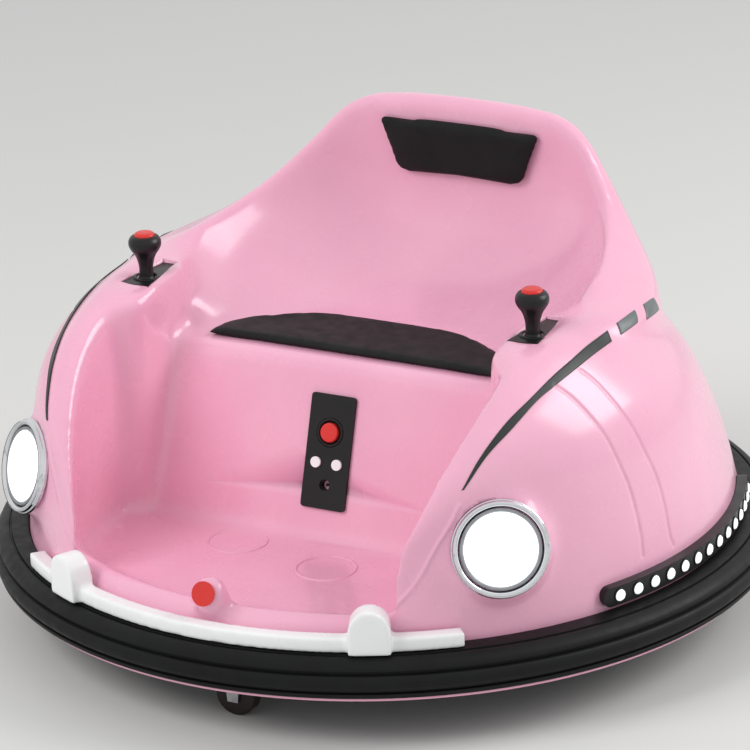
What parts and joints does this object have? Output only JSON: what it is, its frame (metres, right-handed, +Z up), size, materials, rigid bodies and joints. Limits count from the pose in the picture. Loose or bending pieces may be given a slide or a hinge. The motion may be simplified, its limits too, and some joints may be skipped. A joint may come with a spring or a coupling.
{
  "type": "child ride-on bumper car",
  "caption": "Round ride-on toy bumper car with a moulded body, rubber ring, dished seat, two joysticks, drive wheels and swivel casters.",
  "frame": {"origin": "on the ground under the centre of the bumper ring", "axes": "+Z up, the front faces -Y, +X is the left side as the child sits"},
  "size_m": [0.7, 0.7, 0.408],
  "materials": {
    "axle_steel": "turned",
    "badge_red": "glossy, bare",
    "battery_black": "moulded",
    "bezel_chrome": "plated plastic",
    "bumper_rubber": "semi-gloss rubber",
    "button_red": "glossy",
    "button_white": "glossy",
    "caster_brown": "moulded",
    "fork_steel": "zinc plated",
    "gearbox_black": "moulded",
    "hub_grey": "moulded",
    "lamp_lens": "lit lens",
    "light_lens": "lit lens",
    "pad_black": "matt foam pad",
    "pan_pink": "satin moulded plastic",
    "panel_black": "fine moulded texture",
    "shell_pink": "glossy moulded plastic",
    "stick_black": "satin moulded plastic",
    "strip_black": "glossy moulded plastic",
    "trim_white": "glossy moulded plastic",
    "tyre_black": "moulded"
  },
  "bodies": {
    "car_body": {"base_pan": "pan_pink", "battery_block": "battery_black", "body_shell": "shell_pink", "bumper_ring": "bumper_rubber", "caster_plate_front": "fork_steel", "caster_plate_rear": "fork_steel", "control_panel": "panel_black", "front_badge": "badge_red", "front_bar": "trim_white", "gearbox_left": "gearbox_black", "gearbox_right": "gearbox_black", "headlight_bezel_left": "bezel_chrome", "headlight_bezel_right": "bezel_chrome", "headlight_lens_left": "lamp_lens", "headlight_lens_right": "lamp_lens", "headrest_pad": "pad_black", "joystick_plate_left": "panel_black", "joystick_plate_right": "panel_black", "led_lenses_left": "light_lens", "led_lenses_right": "light_lens", "led_strip_left": "strip_black", "led_strip_right": "strip_black", "mode_buttons": "button_white", "power_button": "button_red", "seat_pad": "pad_black"},
    "caster_swivel_front": {"caster_axle_front": "axle_steel", "caster_fork_front": "fork_steel"},
    "caster_swivel_rear": {"caster_axle_rear": "axle_steel", "caster_fork_rear": "fork_steel"},
    "caster_roller_front": {"caster_wheel_front": "caster_brown"},
    "caster_roller_rear": {"caster_wheel_rear": "caster_brown"},
    "drive_wheel_left": {"drive_hub_left": "hub_grey", "drive_tyre_left": "tyre_black"},
    "drive_wheel_right": {"drive_hub_right": "hub_grey", "drive_tyre_right": "tyre_black"},
    "joystick_left": {"joystick_button_left": "button_red", "joystick_stick_left": "stick_black"},
    "joystick_right": {"joystick_button_right": "button_red", "joystick_stick_right": "stick_black"}
  },
  "joints": [
    {"name": "drive_spin_left", "type": "hinge", "parent": "car_body", "child": "drive_wheel_left", "pos_m": [0.215, 0, 0.055], "axis": [1, 0, 0], "continuous": true},
    {"name": "joystick_tilt_left", "type": "hinge", "parent": "car_body", "child": "joystick_left", "pos_m": [0.1894, -0.0758, 0.288], "axis": [1, 0, 0], "range_deg": [-15, 15], "stiffness_Nm_per_rad": 0.1},
    {"name": "drive_spin_right", "type": "hinge", "parent": "car_body", "child": "drive_wheel_right", "pos_m": [-0.215, 0, 0.055], "axis": [1, 0, 0], "continuous": true},
    {"name": "joystick_tilt_right", "type": "hinge", "parent": "car_body", "child": "joystick_right", "pos_m": [-0.1894, -0.0758, 0.288], "axis": [1, 0, 0], "range_deg": [-15, 15], "stiffness_Nm_per_rad": 0.1},
    {"name": "caster_turn_front", "type": "hinge", "parent": "car_body", "child": "caster_swivel_front", "pos_m": [0, -0.288, 0.048], "axis": [0, 0, 1], "continuous": true},
    {"name": "caster_roll_front", "type": "hinge", "parent": "caster_swivel_front", "child": "caster_roller_front", "pos_m": [0.012, -0.288, 0.01875], "axis": [0, 1, 0], "continuous": true},
    {"name": "caster_turn_rear", "type": "hinge", "parent": "car_body", "child": "caster_swivel_rear", "pos_m": [0, 0.288, 0.048], "axis": [0, 0, 1], "continuous": true},
    {"name": "caster_roll_rear", "type": "hinge", "parent": "caster_swivel_rear", "child": "caster_roller_rear", "pos_m": [-0.012, 0.288, 0.01875], "axis": [0, 1, 0], "continuous": true}
  ]
}
